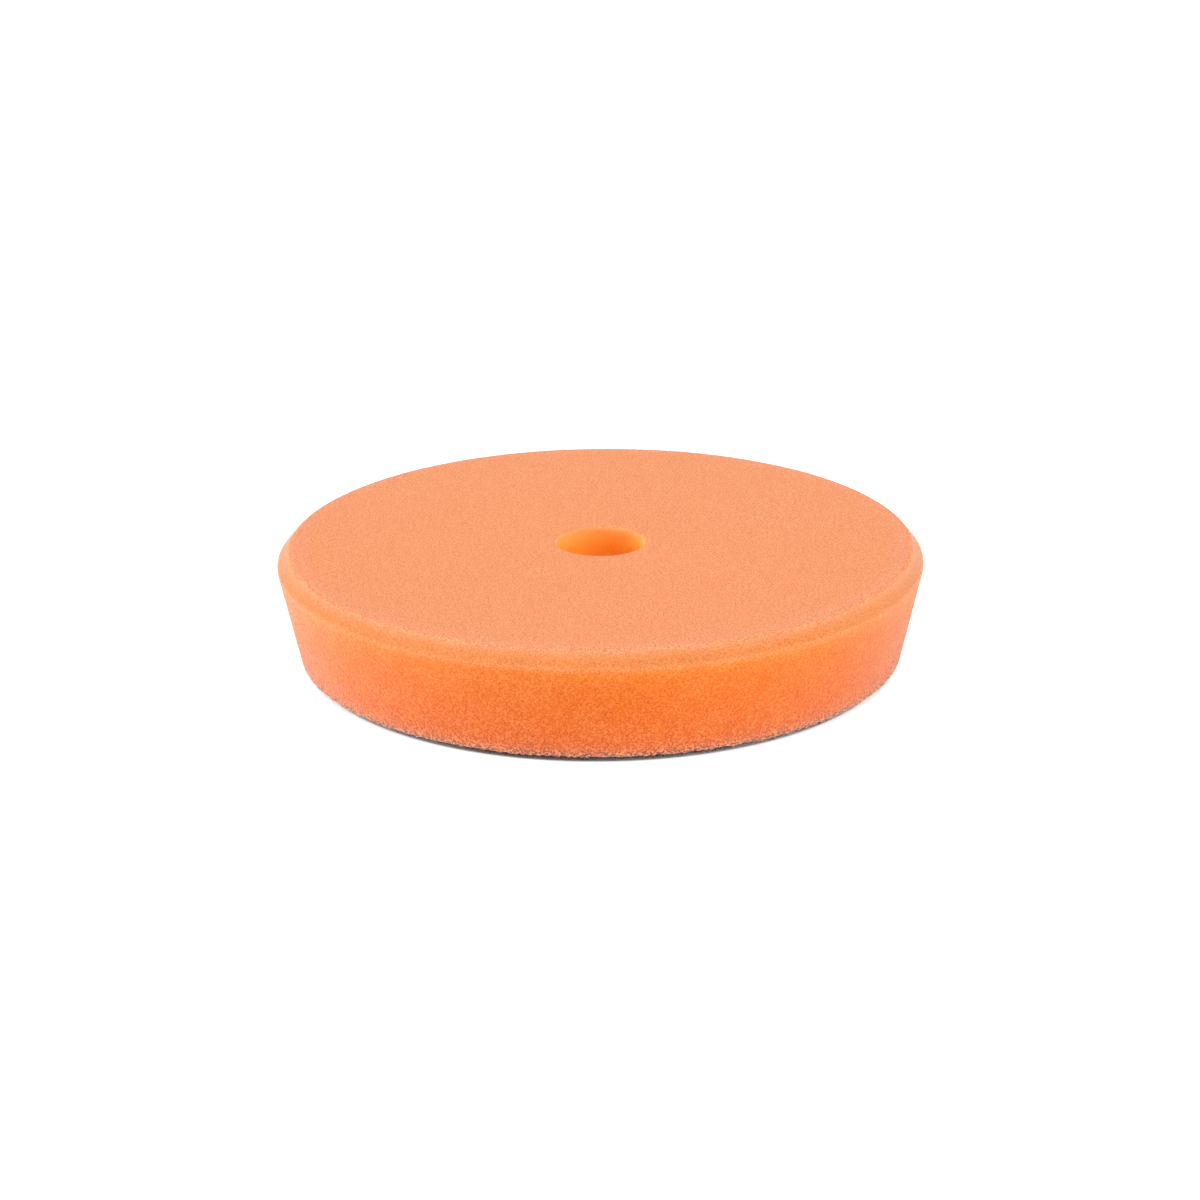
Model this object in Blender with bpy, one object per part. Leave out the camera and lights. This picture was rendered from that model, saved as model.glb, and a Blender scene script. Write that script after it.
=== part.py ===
"""A tapered foam polishing pad with a loop backing, built as the layers that are laminated together.

The pad lies on its loop backing with its polishing face up. The origin is the centre of the backing's
loop face, on the axis of the centre hole, and +Z points out of the polishing face. All sizes are metres.
"""

import math

import bpy

# Driving sizes of the pad: widest diameter / foam thickness / diameter of the base.
WIDEST_DIAMETER = 0.150
FOAM_THICKNESS = 0.025
BASE_DIAMETER = 0.140

# The polishing face and the bevelled band that runs round it.
FACE_DIAMETER = 0.144
BAND_HEIGHT = 0.0036

# The centre hole, which lines the pad up on the backing plate and lets heat out.
HOLE_DIAMETER = 0.0206

# Radii of the knife-cut foam's edges.
FACE_EDGE_RADIUS = 0.0016
CREASE_RADIUS = 0.0008
BASE_EDGE_RADIUS = 0.0007
HOLE_LIP_RADIUS = 0.0009

# The loop fabric and the adhesive film, which stop short of the foam's rim.
BACKING_DIAMETER = 0.136
PILE_HEIGHT = 0.0011
GROUND_THICKNESS = 0.0004
FILM_THICKNESS = 0.0002
LAYER_GAP = 0.0003
PILE_EDGE_RADIUS = 0.0003

# Each layer stands on the one below it.
GROUND_BOTTOM = PILE_HEIGHT + LAYER_GAP
FILM_BOTTOM = GROUND_BOTTOM + GROUND_THICKNESS + LAYER_GAP
FOAM_BOTTOM = FILM_BOTTOM + FILM_THICKNESS + LAYER_GAP
FOAM_TOP = FOAM_BOTTOM + FOAM_THICKNESS

SEGMENTS = 96
ARC_STEPS = 3


def clear_scene():
    """Removes what the start-up file holds."""
    for obj in list(bpy.data.objects):
        bpy.data.objects.remove(obj)


def finish(name, colour, roughness):
    """A Principled material with one colour, which has no metal in it."""
    material = bpy.data.materials.new(name)
    material.use_nodes = True
    shader = material.node_tree.nodes["Principled BSDF"]
    shader.inputs["Base Color"].default_value = (*colour, 1.0)
    shader.inputs["Roughness"].default_value = roughness
    shader.inputs["Metallic"].default_value = 0.0
    return material


def unit(start, end):
    """The direction from one point of an outline to another, and how far apart they are."""
    step_r, step_z = end[0] - start[0], end[1] - start[1]
    length = math.hypot(step_r, step_z)
    return (step_r / length, step_z / length), length


def rounded_corner(before, corner, after, radius):
    """The points of the arc that rounds one corner of an outline."""
    if not radius:
        return [corner]
    (in_r, in_z), _ = unit(corner, before)
    (out_r, out_z), _ = unit(corner, after)
    half_angle = math.acos(in_r * out_r + in_z * out_z) / 2
    (mid_r, mid_z), _ = unit((0.0, 0.0), (in_r + out_r, in_z + out_z))
    reach = radius / math.sin(half_angle)
    centre = (corner[0] + mid_r * reach, corner[1] + mid_z * reach)
    tangent = radius / math.tan(half_angle)
    first = (corner[0] + in_r * tangent, corner[1] + in_z * tangent)
    last = (corner[0] + out_r * tangent, corner[1] + out_z * tangent)
    start = math.atan2(first[1] - centre[1], first[0] - centre[0])
    turn = math.atan2(last[1] - centre[1], last[0] - centre[0]) - start
    turn = (turn + math.pi) % (2 * math.pi) - math.pi
    steps = range(ARC_STEPS + 1)
    angles = [start + turn * step / ARC_STEPS for step in steps]
    return [(centre[0] + radius * math.cos(a), centre[1] + radius * math.sin(a)) for a in angles]


def rounded_outline(corners):
    """A closed outline of (radius, height) points, from corners given as (radius, height, edge radius)."""
    outline = []
    for index, (r, z, edge_radius) in enumerate(corners):
        before = corners[index - 1][:2]
        after = corners[(index + 1) % len(corners)][:2]
        outline += rounded_corner(before, (r, z), after, edge_radius)
    return outline


def turned_piece(name, corners, material, axis):
    """A ring-shaped piece: its outline, which runs down the outer side, turned round the pad's axis."""
    outline = rounded_outline(corners)
    count = len(outline)
    mesh = bpy.data.meshes.new(name)
    edges = [(index, (index + 1) % count) for index in range(count)]
    mesh.from_pydata([(r, 0.0, z) for r, z in outline], edges, [])
    mesh.materials.append(material)
    piece = bpy.data.objects.new(name, mesh)
    bpy.context.scene.collection.objects.link(piece)
    piece.parent = axis
    turn = piece.modifiers.new("turn", "SCREW")
    turn.angle = 2 * math.pi
    turn.steps = SEGMENTS
    turn.render_steps = SEGMENTS
    turn.use_merge_vertices = True
    turn.merge_threshold = 0.00001
    return piece


def layer_corners(bottom, thickness, lower_edge_radius=0.0):
    """The corners of one flat layer of the backing, with the centre hole through it."""
    outer, inner, top = BACKING_DIAMETER / 2, HOLE_DIAMETER / 2, bottom + thickness
    return [
        (inner, top, 0.0),
        (outer, top, 0.0),
        (outer, bottom, lower_edge_radius),
        (inner, bottom, lower_edge_radius),
    ]


def foam_body(axis):
    """The foam: a flat face, a bevelled band, the widest crease, and a side that tapers in to the base."""
    hole = HOLE_DIAMETER / 2
    corners = [
        (hole, FOAM_TOP, HOLE_LIP_RADIUS),
        (FACE_DIAMETER / 2, FOAM_TOP, FACE_EDGE_RADIUS),
        (WIDEST_DIAMETER / 2, FOAM_TOP - BAND_HEIGHT, CREASE_RADIUS),
        (BASE_DIAMETER / 2, FOAM_BOTTOM, BASE_EDGE_RADIUS),
        (hole, FOAM_BOTTOM, 0.0),
    ]
    return turned_piece("foam_body", corners, finish("orange_foam", (0.95, 0.2, 0.025), 0.9), axis)


def adhesive_film(axis):
    """The heat-laminated film that holds the loop fabric to the foam."""
    corners = layer_corners(FILM_BOTTOM, FILM_THICKNESS)
    return turned_piece("adhesive_film", corners, finish("smoked_adhesive", (0.06, 0.052, 0.048), 0.45), axis)


def loop_ground(axis):
    """The loop fabric's knitted ground, which carries the pile."""
    corners = layer_corners(GROUND_BOTTOM, GROUND_THICKNESS)
    return turned_piece("loop_ground", corners, finish("grey_knit", (0.065, 0.05, 0.048), 0.85), axis)


def loop_pile(axis):
    """The standing loops, as the space that they fill. A plate's hooks catch in them."""
    corners = layer_corners(0.0, PILE_HEIGHT, PILE_EDGE_RADIUS)
    return turned_piece("loop_pile", corners, finish("grey_loops", (0.15, 0.11, 0.104), 0.95), axis)


def main():
    clear_scene()
    axis = bpy.data.objects.new("pad_axis", None)
    bpy.context.scene.collection.objects.link(axis)
    foam_body(axis)
    adhesive_film(axis)
    loop_ground(axis)
    loop_pile(axis)


main()
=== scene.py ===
"""The finished look of a tapered foam polishing pad: ground open-cell foam on a laminated loop backing."""

import logging
import math
from dataclasses import dataclass, field
from enum import Enum
from typing import Any

import bpy
import numpy as np
from mathutils import Euler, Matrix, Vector, noise


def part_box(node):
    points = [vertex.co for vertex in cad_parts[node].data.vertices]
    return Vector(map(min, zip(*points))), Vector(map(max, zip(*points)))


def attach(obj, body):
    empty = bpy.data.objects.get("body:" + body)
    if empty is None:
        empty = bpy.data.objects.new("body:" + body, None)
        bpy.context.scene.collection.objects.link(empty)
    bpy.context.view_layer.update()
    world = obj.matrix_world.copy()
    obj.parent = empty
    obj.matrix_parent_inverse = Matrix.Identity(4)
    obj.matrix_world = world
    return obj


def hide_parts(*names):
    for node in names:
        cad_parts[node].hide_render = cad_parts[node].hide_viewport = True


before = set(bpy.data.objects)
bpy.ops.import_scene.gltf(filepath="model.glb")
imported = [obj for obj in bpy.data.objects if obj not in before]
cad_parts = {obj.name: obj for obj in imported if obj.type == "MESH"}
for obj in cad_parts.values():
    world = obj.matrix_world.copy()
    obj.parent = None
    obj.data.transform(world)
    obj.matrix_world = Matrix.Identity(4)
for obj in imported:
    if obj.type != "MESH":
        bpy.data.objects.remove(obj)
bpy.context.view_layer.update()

LOG = logging.getLogger("polishing_pad")

BODY = "root"

# The map that each piece's surface is laid out flat on.
UV_MAP = "OFBake"

Colour = tuple[float, float, float]


class Region(Enum):
    """The stretches of the foam's surface, each cut or ground in its own way."""

    FACE = "face"
    BAND = "band"
    SIDE = "side"
    BASE = "base"
    HOLE = "hole"


# ---------------------------------------------------------------- tools of the bench


def deselect_all() -> None:
    """Leaves no object selected, so that an operator acts on one piece only."""
    for obj in bpy.context.selected_objects:
        obj.select_set(False)


def take_up(piece: bpy.types.Object) -> None:
    """Makes one piece the only selected object and the active one.

    Args:
        piece: The piece to work on.
    """
    deselect_all()
    piece.select_set(True)
    bpy.context.view_layer.objects.active = piece


def apply_modifiers(piece: bpy.types.Object) -> None:
    """Applies all of a piece's modifiers, in order.

    Args:
        piece: The piece whose modifiers are applied.
    """
    take_up(piece)
    for modifier in list(piece.modifiers):
        bpy.ops.object.modifier_apply(modifier=modifier.name)


def turned(name: str, outline: np.ndarray, turns: int) -> bpy.types.Object:
    """Turns a closed outline round the pad's axis into a fine closed mesh.

    Args:
        name: The piece's name.
        outline: One row of radius and height for each of its points, in metres.
        turns: How many steps lie round the axis.

    Returns:
        The new object, in the scene.
    """
    count = len(outline)
    points = np.column_stack([outline[:, 0], np.zeros(count), outline[:, 1]])
    mesh = bpy.data.meshes.new(name)
    mesh.from_pydata(points.tolist(), [(i, (i + 1) % count) for i in range(count)], [])
    piece = bpy.data.objects.new(name, mesh)
    bpy.context.scene.collection.objects.link(piece)
    turn = piece.modifiers.new("turn", "SCREW")
    turn.steps = turn.render_steps = turns
    turn.use_merge_vertices = True
    turn.merge_threshold = 1e-6
    apply_modifiers(piece)
    piece.data.shade_smooth()
    return piece


def points_of(piece: bpy.types.Object) -> np.ndarray:
    """Reads a mesh's points.

    Args:
        piece: The mesh object.

    Returns:
        One row of x, y and z for each point, in metres.
    """
    points = np.zeros(len(piece.data.vertices) * 3)
    piece.data.vertices.foreach_get("co", points)
    return points.reshape(-1, 3)


def store(piece: bpy.types.Object, name: str, values: np.ndarray) -> None:
    """Keeps a number or a colour for each point of a mesh, for its finish to read.

    Args:
        piece: The mesh object.
        name: The attribute's name.
        values: One number for each point, or one row of red, green and blue.
    """
    values = np.asarray(values, np.float32)
    if values.ndim == 1:
        piece.data.attributes.new(name, "FLOAT", "POINT").data.foreach_set("value", values)
    else:
        filled = np.column_stack([values, np.ones(len(values), np.float32)])
        piece.data.attributes.new(name, "FLOAT_COLOR", "POINT").data.foreach_set("color", filled.ravel())


def corner_points(piece: bpy.types.Object) -> np.ndarray:
    """Reads which point each face corner stands on.

    Args:
        piece: The mesh object.

    Returns:
        One point number for each face corner.
    """
    corners = np.zeros(len(piece.data.loops), np.int32)
    piece.data.loops.foreach_get("vertex_index", corners)
    return corners


def store_map(piece: bpy.types.Object, flat: np.ndarray) -> None:
    """Lays a piece's surface out flat.

    Args:
        piece: The mesh object.
        flat: Two numbers from 0 to 1 for each face corner.
    """
    layer = piece.data.uv_layers.new(name=UV_MAP)
    layer.data.foreach_set("uv", np.asarray(flat, np.float32).ravel())


def map_from_above(piece: bpy.types.Object) -> None:
    """Lays a thin, flat piece out as it looks from above.

    Args:
        piece: The mesh object.
    """
    plan = points_of(piece)[:, :2]
    low, high = plan.min(0), plan.max(0)
    store_map(piece, ((plan - low) / (high - low).max())[corner_points(piece)])


def smooth(value: np.ndarray, low: float, high: float) -> np.ndarray:
    """Rises smoothly from 0 at low to 1 at high.

    Args:
        value: The numbers to look up.
        low: Where the rise starts.
        high: Where the rise ends.

    Returns:
        A number from 0 to 1 for each value.
    """
    share = np.clip((value - low) / (high - low), 0.0, 1.0)
    return share * share * (3.0 - 2.0 * share)


class NodeSheet:
    """A node tree, with short calls that add nodes and join them."""

    def __init__(self, tree: bpy.types.NodeTree) -> None:
        """Keeps the tree to work on.

        Args:
            tree: The tree that nodes are added to.
        """
        self.tree = tree

    def add(self, kind: str, inputs: dict[Any, Any] | None = None, **settings: Any) -> bpy.types.Node:
        """Adds a node.

        Args:
            kind: The node's type.
            inputs: For each input's name or number, a socket to join to it or a plain value.
            settings: The node's own settings.

        Returns:
            The new node.
        """
        node = self.tree.nodes.new(kind)
        for name, value in settings.items():
            setattr(node, name, value)
        for name, value in (inputs or {}).items():
            if isinstance(value, bpy.types.NodeSocket):
                self.tree.links.new(value, node.inputs[name])
            else:
                node.inputs[name].default_value = value
        return node

    def math(self, operation: str, *values: Any) -> bpy.types.NodeSocket:
        """Adds a Math node and returns its result.

        Args:
            operation: What it does, such as MULTIPLY.
            values: Its inputs, in order.

        Returns:
            The result's socket.
        """
        return self.add("ShaderNodeMath", dict(enumerate(values)), operation=operation).outputs[0]

    def blend(self, share: Any, first: Any, second: Any, how: str = "MIX") -> bpy.types.NodeSocket:
        """Mixes two colours.

        Args:
            share: How much of the second colour shows, from 0 to 1.
            first: The colour at 0.
            second: The colour at 1.
            how: The way they mix.

        Returns:
            The mixed colour's socket.
        """
        node = self.add("ShaderNodeMix", data_type="RGBA", blend_type=how)
        for number, value in ((0, share), (6, first), (7, second)):
            if isinstance(value, bpy.types.NodeSocket):
                self.tree.links.new(value, node.inputs[number])
            else:
                node.inputs[number].default_value = value
        return node.outputs[2]

    def ramp(self, value: Any, low: float, high: float, start: float = 0.0,
             end: float = 1.0) -> bpy.types.NodeSocket:
        """Turns a number's range into another one, smoothly, and stops at its ends.

        Args:
            value: The number's socket.
            low: Where the range starts.
            high: Where the range ends.
            start: The result at the range's start.
            end: The result at the range's end.

        Returns:
            The result's socket.
        """
        inputs = {0: value, 1: low, 2: high, 3: start, 4: end}
        return self.add("ShaderNodeMapRange", inputs, interpolation_type="SMOOTHSTEP").outputs[0]


def opaque(colour: Colour) -> tuple[float, float, float, float]:
    """Gives a colour no see-through.

    Args:
        colour: Its red, green and blue.

    Returns:
        The same three, and a full fourth.
    """
    return (*colour, 1.0)


def empty_material(name: str) -> tuple[bpy.types.Material, NodeSheet, bpy.types.Node]:
    """Starts a material.

    Args:
        name: The material's name.

    Returns:
        The material, its nodes and its main shader.
    """
    material = bpy.data.materials.new(name)
    material.use_nodes = True
    return material, NodeSheet(material.node_tree), material.node_tree.nodes["Principled BSDF"]


# ---------------------------------------------------------------- finishes


@dataclass(frozen=True)
class FoamFinish:
    """Dyed open-cell foam: struts with a painted highlight round cells with painted shade, and a soft haze
    where it is seen aslant.
    """

    name: str = "orange_foam"
    # The face and band are paler and the side darker, partly as ground and knife-cut foam differ and partly
    # as painted sheen and painted shade; the bore's tone is brightest, a painted glow.
    tones: dict[Region, Colour] = field(default_factory=lambda: {
        Region.FACE: (0.82, 0.321, 0.143),
        Region.BAND: (0.56, 0.188, 0.05),
        Region.SIDE: (0.64, 0.132, 0.002),
        Region.BASE: (0.66, 0.15, 0.023),
        Region.HOLE: (1.0, 0.335, 0.015),
    })
    # Painted glow: light that fell on the ground stretches soaks through the foam and comes out below them,
    # painted into the colour of the bore and of the side below the crease.
    painted_glow: Colour = (0.9, 0.37, 0.05)
    painted_bore_glow: Colour = (1.0, 0.37, 0.066)
    # Painted shade: a darker ring at the top of the bore, where its lip rounds over.
    painted_lip_shade: Colour = (0.77, 0.205, 0.115)
    # Painted shade and highlight: the foot of the side is duller and darker, and frays into a paler fringe
    # that is partly fraying and partly painted highlight of light off the table.
    painted_foot_shade: Colour = (0.567, 0.135, 0.046)
    lit_frayed_fringe: Colour = (0.67, 0.26, 0.158)
    # Struts that stand up are paler, a painted highlight; the frayed ones along a cut edge are the palest,
    # partly fraying and partly painted highlight where the edges catch the light.
    highlit_tip: Colour = (0.82, 0.352, 0.135)
    worn_and_highlit: Colour = (0.82, 0.345, 0.22)
    # The dark adhesive shows through the cells at the very rim.
    stain: Colour = (0.11, 0.05, 0.04)
    stain_rim: tuple[float, float] = (0.2, 0.75)
    tip_highlight_share: float = 0.14
    tip_highlight_rim: tuple[float, float] = (0.45, 0.75)
    # Painted shade: what the bottom of a cell, and a gap between two fibres, keep of the tone.
    cell_shade: Colour = (0.86, 0.62, 0.45)
    fibre_gap_shade: Colour = (0.88, 0.66, 0.44)
    cell_size: float = 0.00048
    cell_rim: tuple[float, float] = (0.12, 0.58)
    fibre_size: float = 0.0003
    fibre_gap_shade_rim: tuple[float, float] = (0.35, 0.6)
    cloud_size: float = 0.007
    cloud_rim: tuple[float, float] = (0.35, 0.75)
    cloud_share: float = 0.1
    bump_height: float = 0.00008
    bump_share: float = 0.5
    roughness: float = 0.95
    shine: float = 0.05
    haze: float = 0.66
    haze_roughness: float = 0.44
    haze_tint: Colour = (1.0, 0.88, 0.77)
    # How much light soaks in and comes out elsewhere, and how far each colour of it gets.
    glow: float = 0.0
    glow_reach: float = 0.022
    glow_spread: Colour = (1.0, 0.3, 0.05)

    def cells(self, sheet: NodeSheet, place: bpy.types.NodeSocket) -> bpy.types.NodeSocket:
        """The foam's cells, for the finish and for the relief, so that both hold the same ones.

        Args:
            sheet: The nodes to add to.
            place: Where on the piece a point is.

        Returns:
            How far a point is from the middle of its cell, counted in cells.
        """
        cells = sheet.add("ShaderNodeTexVoronoi", {"Vector": place, "Scale": 1.0 / self.cell_size})
        return cells.outputs["Distance"]

    def build(self) -> bpy.types.Material:
        """Makes the material.

        Returns:
            The material.
        """
        material, sheet, shader = empty_material(self.name)
        place = sheet.add("ShaderNodeTexCoord").outputs["Object"]
        tone = sheet.add("ShaderNodeAttribute", attribute_name="tone").outputs["Color"]
        grain = sheet.add("ShaderNodeAttribute", attribute_name="grain").outputs["Fac"]
        worn_and_highlit = sheet.add("ShaderNodeAttribute", attribute_name="worn_and_highlit").outputs["Fac"]
        stained = sheet.add("ShaderNodeAttribute", attribute_name="stained").outputs["Fac"]
        cells = self.cells(sheet, place)
        # Painted shade deep in the cells and between fibres, and a painted highlight on the struts that stand
        # up.
        cell_pit_and_shade = sheet.math("MULTIPLY", sheet.ramp(cells, *self.cell_rim, 1.0, 0.0), grain)
        tip_highlight = sheet.math("MULTIPLY", sheet.ramp(cells, *self.tip_highlight_rim, 0.0, self.tip_highlight_share), grain)
        clouds = sheet.add(
            "ShaderNodeTexNoise", {"Vector": place, "Scale": 1.0 / self.cloud_size, "Detail": 3.0}
        ).outputs[0]
        fibres = sheet.add(
            "ShaderNodeTexNoise", {"Vector": place, "Scale": 1.0 / self.fibre_size, "Detail": 1.0}
        ).outputs[0]
        fibre_gap_shade_mask = sheet.math("MULTIPLY", sheet.ramp(fibres, *self.fibre_gap_shade_rim, 1.0, 0.0), grain)
        paler = sheet.ramp(clouds, *self.cloud_rim, 0.0, self.cloud_share)
        colour = sheet.blend(paler, tone, opaque(self.highlit_tip))
        colour = sheet.blend(tip_highlight, colour, opaque(self.highlit_tip))
        # Worn edges, paler partly as they fray and partly as a painted highlight.
        colour = sheet.blend(worn_and_highlit, colour, opaque(self.worn_and_highlit))
        colour = sheet.blend(cell_pit_and_shade, colour, opaque(self.cell_shade), "MULTIPLY")
        colour = sheet.blend(fibre_gap_shade_mask, colour, opaque(self.fibre_gap_shade), "MULTIPLY")
        specks = sheet.math("MULTIPLY", sheet.ramp(cells, *self.stain_rim, 1.0, 0.0), stained)
        colour = sheet.blend(specks, colour, opaque(self.stain))
        height = sheet.math("SUBTRACT", fibres, cell_pit_and_shade)
        bump = sheet.add(
            "ShaderNodeBump", {"Strength": self.bump_share, "Distance": self.bump_height, "Height": height}
        )
        sheet.tree.links.new(colour, shader.inputs["Base Color"])
        sheet.tree.links.new(bump.outputs[0], shader.inputs["Normal"])
        shader.inputs["Roughness"].default_value = self.roughness
        shader.inputs["Specular IOR Level"].default_value = self.shine
        shader.inputs["Sheen Weight"].default_value = self.haze
        shader.inputs["Sheen Roughness"].default_value = self.haze_roughness
        shader.inputs["Sheen Tint"].default_value = opaque(self.haze_tint)
        shader.inputs["Subsurface Weight"].default_value = self.glow
        shader.inputs["Subsurface Scale"].default_value = self.glow_reach
        shader.inputs["Subsurface Radius"].default_value = self.glow_spread
        return material


@dataclass(frozen=True)
class YarnFinish:
    """Dull dark grey nylon yarn, a little lighter on some loops than on others."""

    name: str = "grey_yarn"
    dark: Colour = (0.096, 0.046, 0.041)
    light: Colour = (0.225, 0.115, 0.104)
    strand_size: float = 0.0004
    strand_range: tuple[float, float] = (0.35, 1.4)
    bump_height: float = 0.00004
    bump_share: float = 0.4
    roughness: float = 0.8
    shine: float = 0.2
    haze: float = 0.1

    def build(self) -> bpy.types.Material:
        """Makes the material.

        Returns:
            The material.
        """
        material, sheet, shader = empty_material(self.name)
        place = sheet.add("ShaderNodeTexCoord").outputs["Object"]
        loop = sheet.add("ShaderNodeAttribute", attribute_name="shade").outputs["Fac"]
        strands = sheet.add(
            "ShaderNodeTexNoise", {"Vector": place, "Scale": 1.0 / self.strand_size, "Detail": 2.0}
        ).outputs[0]
        share = sheet.ramp(sheet.math("ADD", loop, strands), *self.strand_range)
        colour = sheet.blend(share, opaque(self.dark), opaque(self.light))
        bump = sheet.add(
            "ShaderNodeBump", {"Strength": self.bump_share, "Distance": self.bump_height, "Height": strands}
        )
        sheet.tree.links.new(colour, shader.inputs["Base Color"])
        sheet.tree.links.new(bump.outputs[0], shader.inputs["Normal"])
        shader.inputs["Roughness"].default_value = self.roughness
        shader.inputs["Specular IOR Level"].default_value = self.shine
        shader.inputs["Sheen Weight"].default_value = self.haze
        return material


@dataclass(frozen=True)
class KnitFinish:
    """The fabric's dark grey ground, in fine chains of stitches."""

    name: str = "grey_knit"
    dark: Colour = (0.034, 0.022, 0.021)
    light: Colour = (0.096, 0.064, 0.06)
    chain_pitch: float = 0.00055
    chain_waver: float = 1.5
    stitch_waver: float = 2.5
    bump_height: float = 0.0001
    bump_share: float = 0.6
    roughness: float = 0.85
    shine: float = 0.1

    def rows(self, sheet: NodeSheet, place: bpy.types.NodeSocket, axis: str,
             waver: float) -> bpy.types.NodeSocket:
        """Draws the fabric's rows along one direction.

        Args:
            sheet: The nodes to add to.
            place: Where on the piece a point is.
            axis: The axis that the rows follow one another along.
            waver: How far they stray.

        Returns:
            How far up its row a point is, from 0 to 1.
        """
        inputs = {"Vector": place, "Scale": 1.0 / self.chain_pitch / 3.0, "Distortion": waver, "Detail": 2.0}
        return sheet.add("ShaderNodeTexWave", inputs, bands_direction=axis).outputs["Fac"]

    def build(self) -> bpy.types.Material:
        """Makes the material.

        Returns:
            The material.
        """
        material, sheet, shader = empty_material(self.name)
        place = sheet.add("ShaderNodeTexCoord").outputs["Object"]
        chains = self.rows(sheet, place, "X", self.chain_waver)
        stitches = self.rows(sheet, place, "Y", self.stitch_waver)
        weave = sheet.math("MULTIPLY", chains, stitches)
        colour = sheet.blend(weave, opaque(self.dark), opaque(self.light))
        bump = sheet.add(
            "ShaderNodeBump", {"Strength": self.bump_share, "Distance": self.bump_height, "Height": weave}
        )
        sheet.tree.links.new(colour, shader.inputs["Base Color"])
        sheet.tree.links.new(bump.outputs[0], shader.inputs["Normal"])
        shader.inputs["Roughness"].default_value = self.roughness
        shader.inputs["Specular IOR Level"].default_value = self.shine
        return material


@dataclass(frozen=True)
class AdhesiveFinish:
    """Smoke-tinted hot-melt film, glossy where it melted and dull where it took the foam's print."""

    name: str = "smoked_adhesive"
    thin: Colour = (0.09, 0.075, 0.068)
    thick: Colour = (0.035, 0.03, 0.028)
    print_size: float = 0.0012
    print_range: tuple[float, float] = (0.35, 0.65)
    gloss: tuple[float, float] = (0.3, 0.6)
    bump_height: float = 0.0001
    bump_share: float = 0.5

    def build(self) -> bpy.types.Material:
        """Makes the material.

        Returns:
            The material.
        """
        material, sheet, shader = empty_material(self.name)
        place = sheet.add("ShaderNodeTexCoord").outputs["Object"]
        pattern = sheet.add(
            "ShaderNodeTexNoise", {"Vector": place, "Scale": 1.0 / self.print_size, "Detail": 3.0}
        ).outputs[0]
        share = sheet.ramp(pattern, *self.print_range)
        colour = sheet.blend(share, opaque(self.thin), opaque(self.thick))
        bump = sheet.add(
            "ShaderNodeBump", {"Strength": self.bump_share, "Distance": self.bump_height, "Height": pattern}
        )
        sheet.tree.links.new(colour, shader.inputs["Base Color"])
        roughness = sheet.ramp(pattern, *self.print_range, *self.gloss)
        sheet.tree.links.new(roughness, shader.inputs["Roughness"])
        sheet.tree.links.new(bump.outputs[0], shader.inputs["Normal"])
        return material


# ---------------------------------------------------------------- foam


@dataclass(frozen=True)
class Corner:
    """A corner of the foam's outline: its radius from the axis, its height and how round it is."""

    radius: float
    height: float
    rounding: float = 0.0

    @property
    def place(self) -> Vector:
        """The corner as a flat vector."""
        return Vector((self.radius, self.height))


@dataclass(frozen=True)
class EdgeWearAndHighlight:
    """How a cut edge frays and catches the light, painted as a highlight.

    Its wear and painted highlight are centred a little inward and down from the edge's sharp corner. They
    fade over the reach, and most is how strongly they show at their centre.
    """

    inset: float
    drop: float
    reach: float
    most: float


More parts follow.
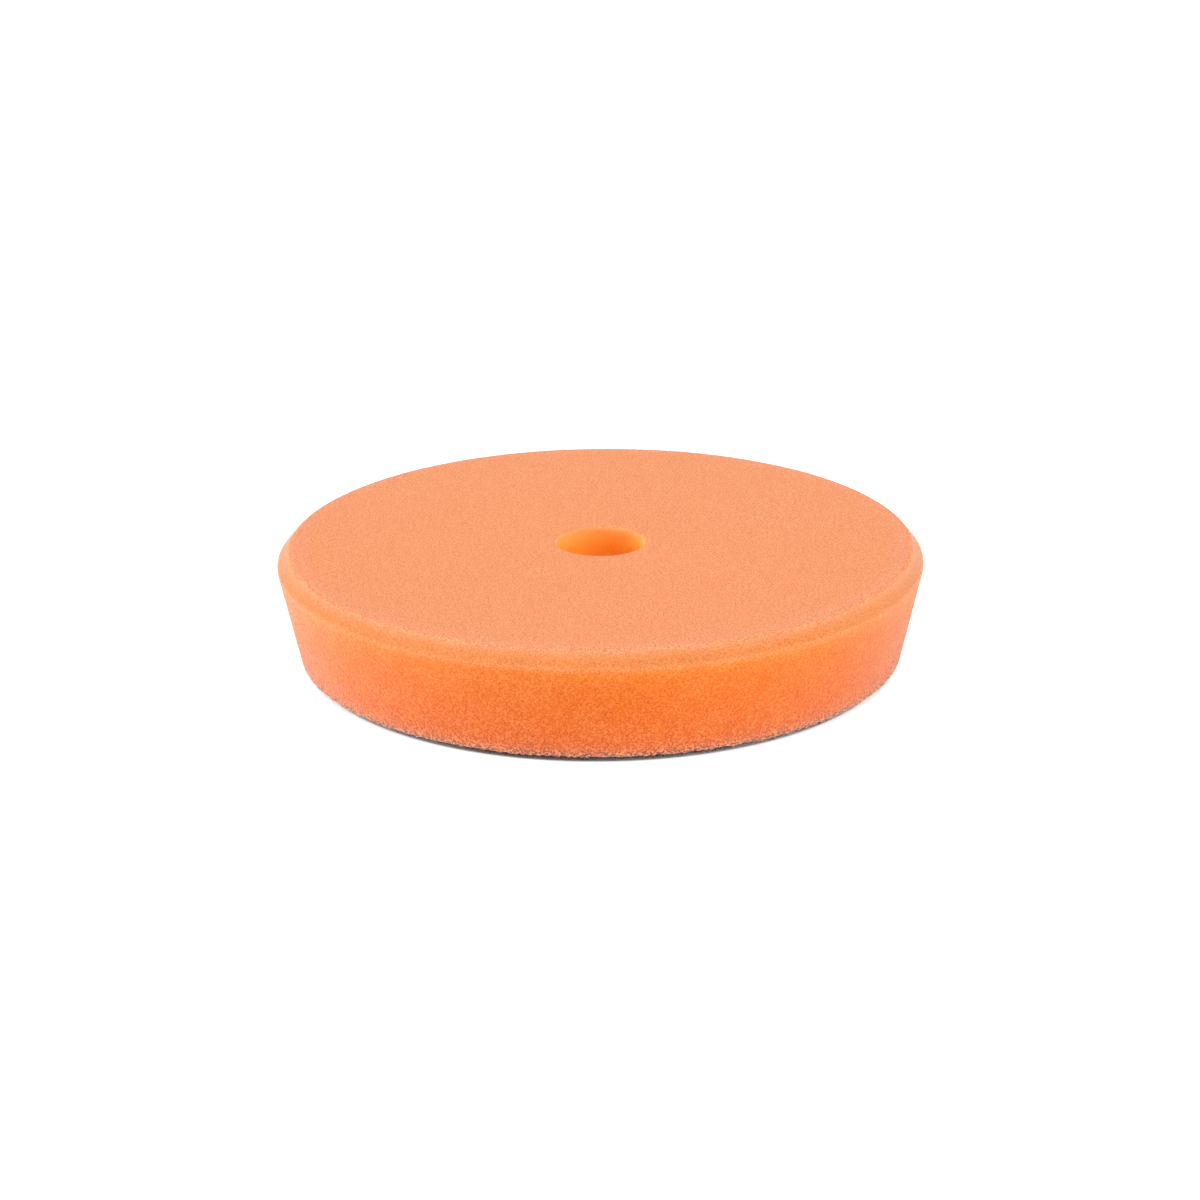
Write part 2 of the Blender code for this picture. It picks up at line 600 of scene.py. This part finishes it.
@dataclass
class FoamBody:
    """The foam: a flat face, a bevelled band, a crease, a side that tapers in to the base, and a hole."""

    low: Vector
    high: Vector
    laminate: float
    widest_diameter: float = 0.150
    face_diameter: float = 0.144
    base_diameter: float = 0.140
    hole_diameter: float = 0.0206
    band_height: float = 0.0036
    face_rounding: float = 0.0016
    crease_rounding: float = 0.0008
    base_rounding: float = 0.0007
    lip_rounding: float = 0.0009
    backing_diameter: float = 0.136
    # The foam's rim stands out past the backing, and hangs a little over its edge.
    rim_gap: float = 0.0003
    rim_drop: float = 0.00055
    rag_size: float = 0.0008
    rag_height: float = 0.0004
    step: float = 0.00034
    hidden_step: float = 0.004
    turns: int = 1344
    warp_size: float = 0.03
    warp_height: float = 0.00012
    # How far the painted glow reaches down the bore and the side, and the painted shade at the bore's lip.
    painted_bore_glow_depth: float = 0.006
    painted_lip_shade_depth: float = 0.0013
    painted_side_glow_reach: float = 0.004
    painted_side_glow_share: float = 0.3
    foot_reach: float = 0.005
    foot_grain: float = 1.1
    fringe_reach: float = 0.0012
    stain_reach: float = 0.0009
    stain_most: float = 2.4
    # Worn edges with a painted highlight: the face's edge, the crease and the hole's lip.
    face_wear_and_highlight: EdgeWearAndHighlight = EdgeWearAndHighlight(inset=0.001, drop=0.0001, reach=0.0017, most=0.6)
    crease_wear_and_highlight: EdgeWearAndHighlight = EdgeWearAndHighlight(inset=0.0, drop=0.0002, reach=0.0005, most=0.24)
    lip_wear_and_highlight: EdgeWearAndHighlight = EdgeWearAndHighlight(inset=-0.0004, drop=0.0, reach=0.0008, most=0.15)
    # How the surface is laid out flat: the sheet's side, the room between stretches, the base's scale.
    sheet_side: float = 0.2
    margin: float = 0.0015
    base_scale: float = 0.18
    finish: FoamFinish = field(default_factory=FoamFinish)
    # The ground face is combed down, and inside the bore the cells aren't brushed up into a haze.
    face_finish: FoamFinish = field(default_factory=lambda: FoamFinish("orange_foam_face", haze=0.2))
    bore_finish: FoamFinish = field(
        default_factory=lambda: FoamFinish("orange_foam_bore", haze=0.0, glow=1.0)
    )
    # How deep the cells are, and how strongly their painted shade and highlight show, on each stretch.
    depth: dict[Region, float] = field(default_factory=lambda: {
        Region.FACE: 0.00005, Region.BAND: 0.00014, Region.SIDE: 0.00012, Region.BASE: 0.00012,
        Region.HOLE: 0.0001,
    })
    grain: dict[Region, float] = field(default_factory=lambda: {
        Region.FACE: 1.5, Region.BAND: 0.66, Region.SIDE: 0.9, Region.BASE: 0.9, Region.HOLE: 0.15,
    })

    @property
    def bottom(self) -> float:
        """Where the foam ends in the adhesive below it."""
        return self.low.z - self.laminate

    @property
    def face_start(self) -> float:
        """The height on the face's rounded edge that the face's own finish reaches down to."""
        return self.high.z - self.face_rounding * 0.3

    def corners(self) -> list[Corner]:
        """Lists the outline's corners, from the hole's lip outwards, down the side and back to the hole.

        Returns:
            The corners, in order.
        """
        hole, backing = self.hole_diameter / 2, self.backing_diameter / 2 + self.rim_gap
        return [
            Corner(hole, self.high.z, self.lip_rounding),
            Corner(self.face_diameter / 2, self.high.z, self.face_rounding),
            Corner(self.widest_diameter / 2, self.high.z - self.band_height, self.crease_rounding),
            Corner(self.base_diameter / 2, self.bottom - self.rim_drop, self.base_rounding),
            Corner(backing, self.bottom - self.rim_drop),
            Corner(backing, self.bottom),
            Corner(hole, self.bottom),
        ]

    def rounded(self, before: Corner, corner: Corner, after: Corner) -> list[Vector]:
        """Rounds one corner of the outline.

        Args:
            before: The corner before it.
            corner: The corner itself.
            after: The corner after it.

        Returns:
            The points of its arc, or the corner alone where it is sharp.
        """
        if not corner.rounding:
            return [corner.place]
        inward = (before.place - corner.place).normalized()
        outward = (after.place - corner.place).normalized()
        half = inward.angle(outward) / 2
        centre = corner.place + (inward + outward).normalized() * (corner.rounding / math.sin(half))
        first = corner.place + inward * (corner.rounding / math.tan(half)) - centre
        turn = first.angle_signed(corner.place + outward * (corner.rounding / math.tan(half)) - centre)
        steps = max(2, math.ceil(abs(turn) * corner.rounding / self.step))
        start = math.atan2(first.y, first.x)
        angles = [start - turn * step / steps for step in range(steps + 1)]
        return [centre + Vector((math.cos(a), math.sin(a))) * corner.rounding for a in angles]

    def outline(self) -> np.ndarray:
        """The closed outline, in steps that are fine where the foam shows.

        Returns:
            One row of radius and height for each point, in metres.
        """
        corners = self.corners()
        count = len(corners)
        arcs = [self.rounded(corners[i - 1], corners[i], corners[(i + 1) % count]) for i in range(count)]
        points: list[Vector] = []
        for number, arc in enumerate(arcs):
            following = arcs[(number + 1) % count][0]
            points += arc
            hidden = number == count - 2
            run = following - arc[-1]
            steps = max(1, round(run.length / (self.hidden_step if hidden else self.step)))
            points += [arc[-1] + run * (step / steps) for step in range(1, steps)]
        return np.array([tuple(p) for p in points])

    def fray(self, piece: bpy.types.Object) -> None:
        """Tears the rim's lower edge a little, where the foam hangs over the backing.

        Args:
            piece: The smooth foam.
        """
        points = points_of(piece)
        rim = np.hypot(points[:, 0], points[:, 1]) > self.backing_diameter / 2
        low = np.flatnonzero(rim & (points[:, 2] < self.bottom + self.base_rounding))
        rags = np.array([noise.noise(Vector(points[i]) / self.rag_size) for i in low])
        share = 1.0 - smooth(points[low, 2], self.bottom - self.rim_drop, self.bottom + self.base_rounding)
        points[low, 2] += rags * share * self.rag_height
        piece.data.vertices.foreach_set("co", points.ravel())

    def shares(self, points: np.ndarray) -> dict[Region, np.ndarray]:
        """How much each point belongs to each stretch of the surface.

        Args:
            points: The points of the smooth foam.

        Returns:
            For each stretch a number from 0 to 1 for each point; they add up to 1.
        """
        radius = np.hypot(points[:, 0], points[:, 1])
        blend = self.step * 1.5
        crease = self.high.z - self.band_height
        hole = 1.0 - smooth(radius, self.hole_diameter / 2, self.hole_diameter / 2 + blend)
        face = smooth(points[:, 2], self.high.z - 1.8 * blend, self.high.z - blend / 2)
        base = 1.0 - smooth(points[:, 2], self.bottom, self.bottom + blend)
        band = smooth(points[:, 2], crease - blend / 2, crease + blend / 2)
        left = 1.0 - hole
        found = {Region.HOLE: hole, Region.FACE: left * face}
        left = left * (1.0 - face)
        found[Region.BASE] = left * base
        left = left * (1.0 - base)
        found[Region.BAND] = left * band
        found[Region.SIDE] = left * (1.0 - band)
        return found

    def tone(self, points: np.ndarray, shares: dict[Region, np.ndarray]) -> np.ndarray:
        """The foam's colour at each point, with its painted glow, shade and highlight, before its cells and
        its worn, highlit edges.

        Args:
            points: The points of the smooth foam.
            shares: How much each point belongs to each stretch.

        Returns:
            One row of red, green and blue for each point.
        """
        radius, height = np.hypot(points[:, 0], points[:, 1]), points[:, 2]
        depth = self.high.z - height
        bottom = self.bottom - self.rim_drop
        crease = self.high.z - self.band_height
        outside = shares[Region.SIDE] + shares[Region.BASE]
        fray = np.hypot(radius - self.base_diameter / 2, height - bottom) / self.fringe_reach
        tone = sum(np.outer(shares[region], self.finish.tones[region]) for region in Region)
        # Painted glow in the bore and down from the crease, painted shade at the bore's lip and the side's
        # foot, and a painted highlight along the frayed fringe.
        for colour, share in (
            (self.finish.painted_bore_glow, shares[Region.HOLE] * np.exp(-depth / self.painted_bore_glow_depth)),
            (self.finish.painted_lip_shade, shares[Region.HOLE] * np.exp(-depth / self.painted_lip_shade_depth)),
            (self.finish.painted_glow, outside * np.exp((height - crease) / self.painted_side_glow_reach) * self.painted_side_glow_share),
            (self.finish.painted_foot_shade, outside * np.exp((bottom - height) / self.foot_reach)),
            (self.finish.lit_frayed_fringe, outside * np.exp(-(fray**2) / 2)),
        ):
            tone += (np.array(colour) - tone) * share[:, None]
        return tone

    def roughened(self, points: np.ndarray, shares: dict[Region, np.ndarray]) -> np.ndarray:
        """How strongly the grain shows at each point: most at the foot of the side.

        Args:
            points: The points of the smooth foam.
            shares: How much each point belongs to each stretch.

        Returns:
            One number for each point.
        """
        grain = sum(shares[region] * self.grain[region] for region in Region)
        outside = shares[Region.SIDE] + shares[Region.BASE]
        return grain + outside * self.foot_grain * np.exp((self.bottom - points[:, 2]) / self.foot_reach)

    def edge_wear_and_highlight(self, points: np.ndarray) -> np.ndarray:
        """How worn and highlit each point is: the knife's edges fray where struts stand free, and carry a
        painted highlight where they catch the light.

        Args:
            points: The points of the smooth foam.

        Returns:
            A number from 0 to 1 for each point.
        """
        radius = np.hypot(points[:, 0], points[:, 1])
        edges = (
            (self.face_wear_and_highlight, self.face_diameter, self.high.z),
            (self.crease_wear_and_highlight, self.widest_diameter, self.high.z - self.band_height),
            (self.lip_wear_and_highlight, self.hole_diameter, self.high.z),
        )
        worn_and_highlit = np.zeros(len(points))
        for edge_wear_and_highlight, diameter, height in edges:
            away = np.hypot(radius - diameter / 2 + edge_wear_and_highlight.inset, points[:, 2] - height + edge_wear_and_highlight.drop)
            worn_and_highlit = np.maximum(worn_and_highlit, edge_wear_and_highlight.most * np.exp(-((away / edge_wear_and_highlight.reach) ** 2) / 2))
        return worn_and_highlit

    def stained(self, points: np.ndarray, shares: dict[Region, np.ndarray]) -> np.ndarray:
        """How far the adhesive crept into the cells at each point: only at the very foot of the side.

        Args:
            points: The points of the smooth foam.
            shares: How much each point belongs to each stretch.

        Returns:
            A number from 0 to 1 for each point.
        """
        crept = np.exp((self.bottom - self.rim_drop - points[:, 2]) / self.stain_reach)
        return (shares[Region.SIDE] + shares[Region.BASE]) * np.minimum(crept * self.stain_most, 1.0)

    def cut_cells(self, piece: bpy.types.Object) -> None:
        """Opens the cells in the cut surface and lets it wander a little, as ground foam does.

        Args:
            piece: The smooth foam, with the depth of its cells stored on it.
        """
        tree = bpy.data.node_groups.new("cut_cells", "GeometryNodeTree")
        for direction in ("INPUT", "OUTPUT"):
            tree.interface.new_socket("Geometry", in_out=direction, socket_type="NodeSocketGeometry")
        sheet = NodeSheet(tree)
        start = sheet.add("NodeGroupInput")
        place = sheet.add("GeometryNodeInputPosition").outputs[0]
        normal = sheet.add("GeometryNodeInputNormal").outputs[0]
        depth = sheet.add("GeometryNodeInputNamedAttribute", {"Name": "depth"}).outputs[0]
        warp = sheet.add("ShaderNodeTexNoise", {"Vector": place, "Scale": 1.0 / self.warp_size}).outputs[0]
        cells = sheet.ramp(self.finish.cells(sheet, place), *self.finish.cell_rim, -1.0, 0.0)
        pits = sheet.math("MULTIPLY", cells, depth)
        drift = sheet.math("MULTIPLY", sheet.math("SUBTRACT", warp, 0.5), 2.0 * self.warp_height)
        offset = sheet.add(
            "ShaderNodeVectorMath", {0: normal, "Scale": sheet.math("ADD", pits, drift)}, operation="SCALE"
        ).outputs[0]
        moved = sheet.add("GeometryNodeSetPosition", {"Geometry": start.outputs[0], "Offset": offset})
        sheet.add("NodeGroupOutput", {0: moved.outputs[0]})
        piece.modifiers.new("cells", "NODES").node_group = tree
        apply_modifiers(piece)

    def lay_out(self, piece: bpy.types.Object, points: np.ndarray) -> None:
        """Lays the foam out flat: the face as a disc, the wall and the hole as strips, the base small.

        Args:
            piece: The finished foam, all in four-sided faces.
            points: The points of the foam before its cells were cut.
        """
        margin, quarter = self.margin, math.pi / 2
        corners = corner_points(piece).reshape(-1, 4)
        place = points[corners]
        middle = place.mean(1)
        middle_angle = np.arctan2(middle[:, 1], middle[:, 0])
        radius, height = np.hypot(middle[:, 0], middle[:, 1]), middle[:, 2]
        angle = np.arctan2(place[..., 1], place[..., 0]) - middle_angle[:, None]
        angle = (angle + math.pi) % (2 * math.pi) - math.pi
        section = np.floor((middle_angle + math.pi) / quarter).clip(0, 3).astype(int)
        along_wall = angle + (middle_angle + math.pi - section * quarter)[:, None]
        wall_radius, disc = self.widest_diameter / 2, self.face_diameter / 2
        hole_radius = self.hole_diameter / 2
        along_hole = angle + (middle_angle + math.pi)[:, None]
        strip = np.stack([along_wall * wall_radius, place[..., 2] - self.bottom], -1)
        tunnel = np.stack([place[..., 2] - self.bottom, along_hole * hole_radius], -1)
        thick, far = self.high.z - self.bottom, 2 * disc + 2 * margin
        starts = np.array([
            (margin, far), (margin, far + thick + margin), (far, margin), (far + thick + margin, margin),
        ])
        upright = section >= 2
        wall = np.where(upright[:, None, None], strip[..., ::-1], strip) + starts[section][:, None]
        long = wall_radius * quarter
        base_middle = np.array([long + 3 * margin, far]) + self.base_diameter / 2 * self.base_scale
        in_hole = radius < hole_radius + self.lip_rounding * 0.3
        in_face = (height > self.face_start) & ~in_hole
        in_base = (height < self.bottom + self.base_rounding * 0.5) & ~in_hole
        flat = wall
        flat[in_hole] = tunnel[in_hole] + (far + thick + margin, long + 3 * margin)
        flat[in_face] = place[in_face][..., :2] + disc + margin
        flat[in_base] = place[in_base][..., :2] * self.base_scale + base_middle
        store_map(piece, flat.reshape(-1, 2) / self.sheet_side)

    def dress(self, piece: bpy.types.Object, points: np.ndarray) -> None:
        """Gives the foam its finishes: one for its sides and base, one for the face, one for the bore.

        Args:
            piece: The finished foam, all in four-sided faces.
            points: The points of the foam before its cells were cut.
        """
        for finish in (self.finish, self.face_finish, self.bore_finish):
            piece.data.materials.append(finish.build())
        place = points[corner_points(piece).reshape(-1, 4)].mean(1)
        on_top = place[:, 2] > self.face_start
        inside = np.hypot(place[:, 0], place[:, 1]) < self.hole_diameter / 2 + self.lip_rounding * 0.1
        slots = np.where(inside, 2, np.where(on_top, 1, 0))
        piece.data.polygons.foreach_set("material_index", slots.astype(np.int32))

    def build(self) -> bpy.types.Object:
        """Makes the foam.

        Returns:
            The finished piece.
        """
        piece = turned("foam_pad", self.outline(), self.turns)
        points = points_of(piece)
        shares = self.shares(points)
        store(piece, "depth", sum(shares[region] * self.depth[region] for region in Region))
        store(piece, "grain", self.roughened(points, shares))
        store(piece, "tone", self.tone(points, shares))
        store(piece, "worn_and_highlit", self.edge_wear_and_highlight(points))
        store(piece, "stained", self.stained(points, shares))
        self.fray(piece)
        self.cut_cells(piece)
        self.lay_out(piece, points)
        self.dress(piece, points)
        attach(piece, BODY)
        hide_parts("foam_body")
        return piece


# ---------------------------------------------------------------- backing


@dataclass
class LoopPile:
    """The fabric's standing loops: fine nylon arches, brushed so that each leans its own way."""

    low: Vector
    high: Vector
    hole_diameter: float = 0.0206
    pitch: float = 0.0011
    yarn: float = 0.00017
    foot_gap: float = 0.0005
    # How far a loop strays from its place, in pitches, and how much of the pile's height it takes up.
    stray: float = 0.28
    tallness: tuple[float, float] = (0.78, 0.99)
    lean: float = 0.0004
    # How far the loops' feet sink into the ground.
    root: float = 0.0004
    # How much wider a loop is at its middle than at its feet, and how square its top is.
    belly: float = 0.35
    squareness: float = 0.8
    bends: int = 7
    sides: int = 3
    sectors: int = 4
    seed: int = 7
    finish: YarnFinish = field(default_factory=YarnFinish)

    def feet(self, rng: np.random.Generator) -> np.ndarray:
        """Finds where the loops stand: in staggered rows, each a little off its place.

        Args:
            rng: The source of chance.

        Returns:
            One row of x and y for each loop, in metres.
        """
        reach = self.high.x
        rows = np.arange(-reach, reach, self.pitch * math.sqrt(3) / 2)
        places = [
            (x + (number % 2) * self.pitch / 2, y)
            for number, y in enumerate(rows)
            for x in np.arange(-reach, reach, self.pitch)
        ]
        feet = np.array(places) + rng.uniform(-self.stray, self.stray, (len(places), 2)) * self.pitch
        radius = np.hypot(feet[:, 0], feet[:, 1])
        inside = (radius < reach - self.yarn) & (radius > self.hole_diameter / 2 + self.foot_gap)
        return feet[inside]

    def loops(self, feet: np.ndarray, rng: np.random.Generator) -> tuple[np.ndarray, np.ndarray]:
        """Bends a yarn over each foot.

        Args:
            feet: Where the loops stand.
            rng: The source of chance.

        Returns:
            The loops' points, by loop, bend and side, and each loop's shade from 0 to 1.
        """
        count = len(feet)
        step = np.linspace(0.0, 1.0, self.bends)
        tall = (self.high.z + self.root - self.low.z) * rng.uniform(*self.tallness, count)
        heading = rng.uniform(0.0, math.pi, count)
        lean = rng.normal(0.0, self.lean, (count, 2)) + (0.0, self.lean)
        across = np.stack([np.cos(heading), np.sin(heading), np.zeros(count)], -1)
        arch = np.sin(math.pi * step)
        swell = -np.cos(math.pi * step) * (0.5 + self.belly * arch)
        line = across[:, None] * (swell * self.foot_gap)[None, :, None]
        line[..., :2] += feet[:, None] + lean[:, None] * (arch**2)[None, :, None]
        depth = (tall - self.yarn)[:, None] * (arch**self.squareness)[None]
        line[..., 2] += self.high.z + self.root - depth
        tangent = np.gradient(line, axis=1)
        tangent /= np.linalg.norm(tangent, axis=-1, keepdims=True)
        side = np.cross(across, (0.0, 0.0, 1.0))[:, None]
        side = side - tangent * (tangent * side).sum(-1, keepdims=True)
        side /= np.linalg.norm(side, axis=-1, keepdims=True)
        other = np.cross(tangent, side)
        angles = 2 * math.pi * np.arange(self.sides) / self.sides
        ring = side[:, :, None] * np.cos(angles)[:, None] + other[:, :, None] * np.sin(angles)[:, None]
        return line[:, :, None] + ring * (self.yarn / 2), rng.uniform(0.0, 1.0, count)

    def skin(self, count: int) -> list[list[int]]:
        """Joins the points of a number of loops into closed tubes.

        Args:
            count: How many loops there are.

        Returns:
            The faces, as rows of point numbers.
        """
        sides, per_loop = self.sides, self.bends * self.sides
        one = [
            [bend * sides + side, bend * sides + (side + 1) % sides,
             (bend + 1) * sides + (side + 1) % sides, (bend + 1) * sides + side]
            for bend in range(self.bends - 1)
            for side in range(sides)
        ]
        ends = [list(range(sides))[::-1], list(range(per_loop - sides, per_loop))]
        return [[corner + loop * per_loop for corner in face] for loop in range(count) for face in one + ends]

    def build(self) -> list[bpy.types.Object]:
        """Makes the pile in sectors.

        Returns:
            The finished pieces.
        """
        rng = np.random.default_rng(self.seed)
        feet = self.feet(rng)
        points, shades = self.loops(feet, rng)
        sector = np.floor((np.arctan2(feet[:, 1], feet[:, 0]) + math.pi) / (2 * math.pi) * self.sectors)
        material = self.finish.build()
        pieces = []
        for number in range(self.sectors):
            chosen = sector == number
            mesh = bpy.data.meshes.new(f"pile_sector_{number + 1}")
            mesh.from_pydata(points[chosen].reshape(-1, 3).tolist(), [], self.skin(int(chosen.sum())))
            piece = bpy.data.objects.new(mesh.name, mesh)
            bpy.context.scene.collection.objects.link(piece)
            mesh.shade_smooth()
            store(piece, "shade", np.repeat(shades[chosen], self.bends * self.sides))
            map_from_above(piece)
            mesh.materials.append(material)
            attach(piece, BODY)
            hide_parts("loop_pile")
            pieces.append(piece)
        return pieces


@dataclass
class KnitGround:
    """The fabric's ground: a thin knitted ring whose chains of stitches stand out as ribs."""

    low: Vector
    high: Vector
    laminate: float
    hole_diameter: float = 0.0206
    rings: int = 110
    turns: int = 720
    chain_pitch: float = 0.0011
    rib: float = 0.00008
    stitch_share: float = 0.5
    finish: KnitFinish = field(default_factory=KnitFinish)

    def outline(self) -> np.ndarray:
        """The ring's closed outline, in fine steps on its lower face.

        Returns:
            One row of radius and height for each point, in metres.
        """
        hole, rim, top = self.hole_diameter / 2, self.high.x, self.high.z + self.laminate
        lower = [(radius, self.low.z) for radius in np.linspace(rim, hole, self.rings + 1)]
        return np.array([(hole, top), (rim, top), *lower])

    def build(self, pile: list[bpy.types.Object]) -> bpy.types.Object:
        """Makes the ground.

        Args:
            pile: The loops that stand on it; not used.

        Returns:
            The finished piece.
        """
        piece = turned("knit_ground", self.outline(), self.turns)
        take_up(piece)
        bpy.ops.object.shade_smooth_by_angle(angle=math.radians(50))
        points = points_of(piece)
        below = points[:, 2] < (self.low.z + self.high.z) / 2
        ribs = np.cos(points[:, 0] * 2 * math.pi / self.chain_pitch)
        stitches = np.cos(points[:, 1] * 2 * math.pi / self.chain_pitch)
        relief = ribs * (1.0 + self.stitch_share * stitches) / (1.0 + self.stitch_share)
        points[:, 2] -= below * self.rib * relief
        piece.data.vertices.foreach_set("co", points.ravel())
        map_from_above(piece)
        piece.data.materials.append(self.finish.build())
        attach(piece, BODY)
        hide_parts("loop_ground")
        return piece


@dataclass
class AdhesiveFilm:
    """The hot-melt film: a thin ring whose rim crept a little as it was pressed."""

    low: Vector
    high: Vector
    laminate: float
    hole_diameter: float = 0.0206
    creep: float = 0.0003
    creep_size: float = 0.003
    turns: int = 480
    finish: AdhesiveFinish = field(default_factory=AdhesiveFinish)

    def ring(self) -> bpy.types.Object:
        """Draws the film's lower face, from the hole out to the rim.

        Returns:
            The flat ring, with its rim kept as a group of points.
        """
        deselect_all()
        bpy.ops.mesh.primitive_circle_add(vertices=self.turns, radius=self.hole_diameter / 2)
        piece = bpy.context.active_object
        piece.name = piece.data.name = "adhesive_layer"
        spread = (self.high.x - self.creep) / (self.hole_diameter / 2)
        bpy.ops.object.mode_set(mode="EDIT")
        bpy.ops.mesh.select_all(action="SELECT")
        bpy.ops.mesh.extrude_edges_move()
        bpy.ops.transform.resize(value=(spread, spread, 1.0))
        bpy.ops.object.vertex_group_assign_new()
        bpy.ops.mesh.select_all(action="SELECT")
        bpy.ops.mesh.normals_make_consistent(inside=False)
        bpy.ops.transform.translate(value=(0.0, 0.0, self.low.z))
        bpy.ops.object.mode_set(mode="OBJECT")
        return piece

    def build(self) -> bpy.types.Object:
        """Makes the film.

        Returns:
            The finished piece.
        """
        piece = self.ring()
        thicken = piece.modifiers.new("thickness", "SOLIDIFY")
        thicken.thickness = self.high.z + self.laminate - self.low.z
        thicken.offset = 1.0 if piece.data.polygons[0].normal.z > 0 else -1.0
        creep = piece.modifiers.new("creep", "DISPLACE")
        creep.texture = bpy.data.textures.new("creep", "CLOUDS")
        creep.texture.noise_scale = self.creep_size
        creep.direction = "NORMAL"
        creep.strength = self.creep
        creep.vertex_group = piece.vertex_groups[0].name
        apply_modifiers(piece)
        map_from_above(piece)
        piece.data.materials.append(self.finish.build())
        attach(piece, BODY)
        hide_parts("adhesive_film")
        return piece


# ---------------------------------------------------------------- studio


@dataclass
class Studio:
    """A plain white table in a light tent: a large soft key light in front, and two low ones beside."""

    look_at: Vector = field(default_factory=lambda: Vector((-0.0002, 0.0, 0.0129)))
    lens: float = 107.0
    distance: float = 0.8335
    elevation: float = math.radians(19.76)
    tilt: float = math.radians(0.49)
    table_size: float = 8.0
    table_colour: Colour = (0.9, 0.9, 0.9)
    # How bright the table glows by itself where the camera sees it, which lifts the pad's shadow on it to
    # white, and where that starts: just under the backing's rim.
    table_glow: float = 0.5
    glow_edge: tuple[float, float] = (0.0675, 0.068)
    tent_light: float = 0.324
    # Each lamp's azimuth and elevation in degrees, its power in watts and its diameter in metres.
    lamps: dict[str, tuple[float, float, float, float]] = field(default_factory=lambda: {
        "key": (-4.0, 52.0, 104.0, 2.8),
        "left": (-90.0, 10.0, 236.0, 2.8),
        "right": (60.0, 15.0, 158.0, 2.8),
    })
    lamp_distance: float = 4.0

    def table(self) -> bpy.types.Object:
        """Lays the white table top under the pad.

        Returns:
            The table.
        """
        deselect_all()
        bpy.ops.mesh.primitive_plane_add(size=self.table_size)
        table = bpy.context.active_object
        table.name = "table"
        material, sheet, shader = empty_material("white_table")
        seen = sheet.add("ShaderNodeLightPath").outputs["Is Camera Ray"]
        place = sheet.add("ShaderNodeTexCoord").outputs["Object"]
        away = sheet.add("ShaderNodeVectorMath", {0: place}, operation="LENGTH").outputs["Value"]
        glow = sheet.ramp(away, *self.glow_edge, 0.0, self.table_glow)
        shader.inputs["Base Color"].default_value = opaque(self.table_colour)
        shader.inputs["Roughness"].default_value = 0.9
        shader.inputs["Specular IOR Level"].default_value = 0.0
        shader.inputs["Emission Color"].default_value = opaque((1.0, 1.0, 1.0))
        sheet.tree.links.new(sheet.math("MULTIPLY", seen, glow), shader.inputs["Emission Strength"])
        table.data.materials.append(material)
        return table

    def tent(self) -> None:
        """Lights the pad evenly from all round, against white."""
        world = bpy.data.worlds.new("light_tent")
        bpy.context.scene.world = world
        world.use_nodes = True
        sheet = NodeSheet(world.node_tree)
        world.node_tree.nodes.clear()
        white = opaque((1.0, 1.0, 1.0))
        cloth = sheet.add("ShaderNodeBackground", {"Color": white, "Strength": self.tent_light})
        backdrop = sheet.add("ShaderNodeBackground", {"Color": white, "Strength": 1.0})
        seen = sheet.add("ShaderNodeLightPath").outputs["Is Camera Ray"]
        mixed = sheet.add("ShaderNodeMixShader", {0: seen, 1: cloth.outputs[0], 2: backdrop.outputs[0]})
        sheet.add("ShaderNodeOutputWorld", {"Surface": mixed.outputs[0]})

    def lamp(self, name: str, azimuth: float, elevation: float, watts: float,
             size: float) -> bpy.types.Object:
        """Hangs a soft round lamp that faces the pad.

        Args:
            name: The lamp's name.
            azimuth: Its direction from the pad, in degrees: 0 is in front, and 90 to the right.
            elevation: Its height above the table, in degrees.
            watts: Its power.
            size: Its diameter, in metres.

        Returns:
            The lamp.
        """
        data = bpy.data.lights.new(name, "AREA")
        data.shape = "DISK"
        data.size = size
        data.energy = watts
        lamp = bpy.data.objects.new(name, data)
        bpy.context.scene.collection.objects.link(lamp)
        turn, rise = math.radians(azimuth), math.radians(elevation)
        towards = Vector((math.sin(turn) * math.cos(rise), -math.cos(turn) * math.cos(rise), math.sin(rise)))
        lamp.location = towards * self.lamp_distance
        lamp.rotation_euler = towards.to_track_quat("Z", "Y").to_euler()
        return lamp

    def camera(self) -> bpy.types.Object:
        """Sets the camera up in front of the pad, a little above it, with a long lens.

        Returns:
            The camera.
        """
        data = bpy.data.cameras.new("camera")
        data.lens = self.lens
        camera = bpy.data.objects.new("camera", data)
        bpy.context.scene.collection.objects.link(camera)
        back = Vector((0.0, -math.cos(self.elevation), math.sin(self.elevation)))
        camera.location = self.look_at + back * self.distance
        level = Euler((math.pi / 2 - self.elevation, 0.0, 0.0)).to_quaternion()
        camera.rotation_euler = (level @ Euler((0.0, 0.0, -self.tilt)).to_quaternion()).to_euler()
        bpy.context.scene.camera = camera
        return camera

    def build(self) -> None:
        """Sets up the table, the lights and the camera, and true colours."""
        self.table()
        self.tent()
        for name, settings in self.lamps.items():
            self.lamp(name, *settings)
        self.camera()
        bpy.context.scene.view_settings.view_transform = "Standard"


# ---------------------------------------------------------------- the pad


@dataclass
class PolishingPad:
    """The whole pad: the foam and the three layers laminated under it."""

    # How far each layer sinks into the next one, which closes the room the solids keep between them.
    laminate: float = 0.0003

    def build(self) -> list[bpy.types.Object]:
        """Makes every piece.

        Returns:
            The finished pieces.
        """
        foam = FoamBody(*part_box("foam_body"), laminate=self.laminate).build()
        pile = LoopPile(*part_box("loop_pile")).build()
        film = AdhesiveFilm(*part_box("adhesive_film"), laminate=self.laminate / 2).build()
        ground = KnitGround(*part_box("loop_ground"), laminate=self.laminate).build(pile)
        return [foam, film, ground, *pile]


def main() -> None:
    """Builds the pad and the studio."""
    logging.basicConfig(level=logging.INFO, format="%(message)s")
    for piece in PolishingPad().build():
        piece.data.calc_loop_triangles()
        LOG.info("%s: %d triangles", piece.name, len(piece.data.loop_triangles))
    Studio().build()


if __name__ == "__main__":
    main()
